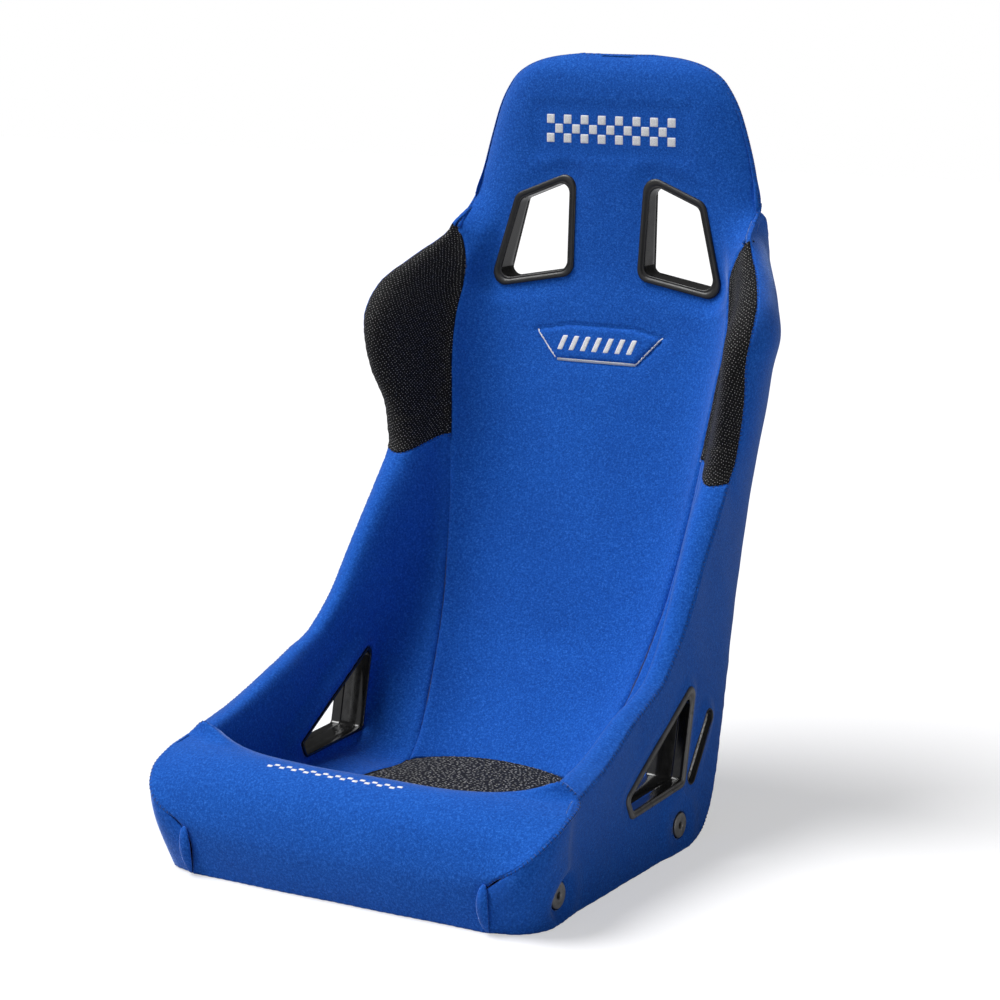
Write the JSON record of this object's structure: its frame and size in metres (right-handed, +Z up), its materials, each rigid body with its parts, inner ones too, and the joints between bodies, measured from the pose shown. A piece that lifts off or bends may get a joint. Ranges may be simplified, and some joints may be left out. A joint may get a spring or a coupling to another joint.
{
  "type": "racing seat",
  "caption": "Fixed-back racing bucket seat with tubular frame, moulded foam, knitted blue cover, black shoulder inserts, harness and lap belt openings and side mounts.",
  "frame": {"origin": "centre of the footprint on the floor, at the middle of the overall width and depth", "axes": "+Z up, the sitter faces -Y, +X is the sitter's left"},
  "size_m": [0.5606, 0.682, 0.9115],
  "materials": {
    "frame_paint": "black powder coat on steel tube and plate",
    "boss_metal": "dull turned steel, phosphated",
    "hook_wire": "zinc-plated spring wire",
    "webbing": "woven elastic webbing",
    "foam": "moulded polyurethane foam with a skin",
    "blue_fabric": "brushed knit on foam scrim",
    "insert_fabric": "non-slip knit with fine dots",
    "cushion_weave": "coarse salt-and-pepper weave",
    "base_cloth": "non-woven dust cloth",
    "bezel_plastic": "fine-grained moulded plastic"
  },
  "bodies": {
    "root": {"frame_hoop": "frame_paint", "side_rail_left": "frame_paint", "side_rail_right": "frame_paint", "front_cross_tube": "frame_paint", "rear_cross_tube": "frame_paint", "lumbar_cross_tube": "frame_paint", "shoulder_cross_tube": "frame_paint", "side_plate_left": "frame_paint", "side_plate_right": "frame_paint", "mount_bosses_left": "boss_metal", "mount_bosses_right": "boss_metal", "back_straps": "webbing", "seat_straps": "webbing", "strap_hooks": "hook_wire", "back_foam": "foam", "head_foam": "foam", "bolster_foam_left": "foam", "bolster_foam_right": "foam", "front_roll_foam": "foam", "cushion_foam": "foam", "front_cover": "blue_fabric", "cushion_cover": "cushion_weave", "front_roll_cover": "blue_fabric", "rear_cover": "blue_fabric", "base_cloth": "base_cloth", "bolster_cover_left": "blue_fabric", "bolster_cover_right": "blue_fabric", "shoulder_insert_left": "insert_fabric", "shoulder_insert_right": "insert_fabric", "side_cover_left": "blue_fabric", "side_cover_right": "blue_fabric", "harness_bezel_front_left": "bezel_plastic", "harness_bezel_front_right": "bezel_plastic", "harness_bezel_rear_left": "bezel_plastic", "harness_bezel_rear_right": "bezel_plastic", "lap_bezel_outer_left": "bezel_plastic", "lap_bezel_outer_right": "bezel_plastic", "lap_bezel_inner_left": "bezel_plastic", "lap_bezel_inner_right": "bezel_plastic", "slot_liner_left": "bezel_plastic", "slot_liner_right": "bezel_plastic"}
  },
  "joints": []
}
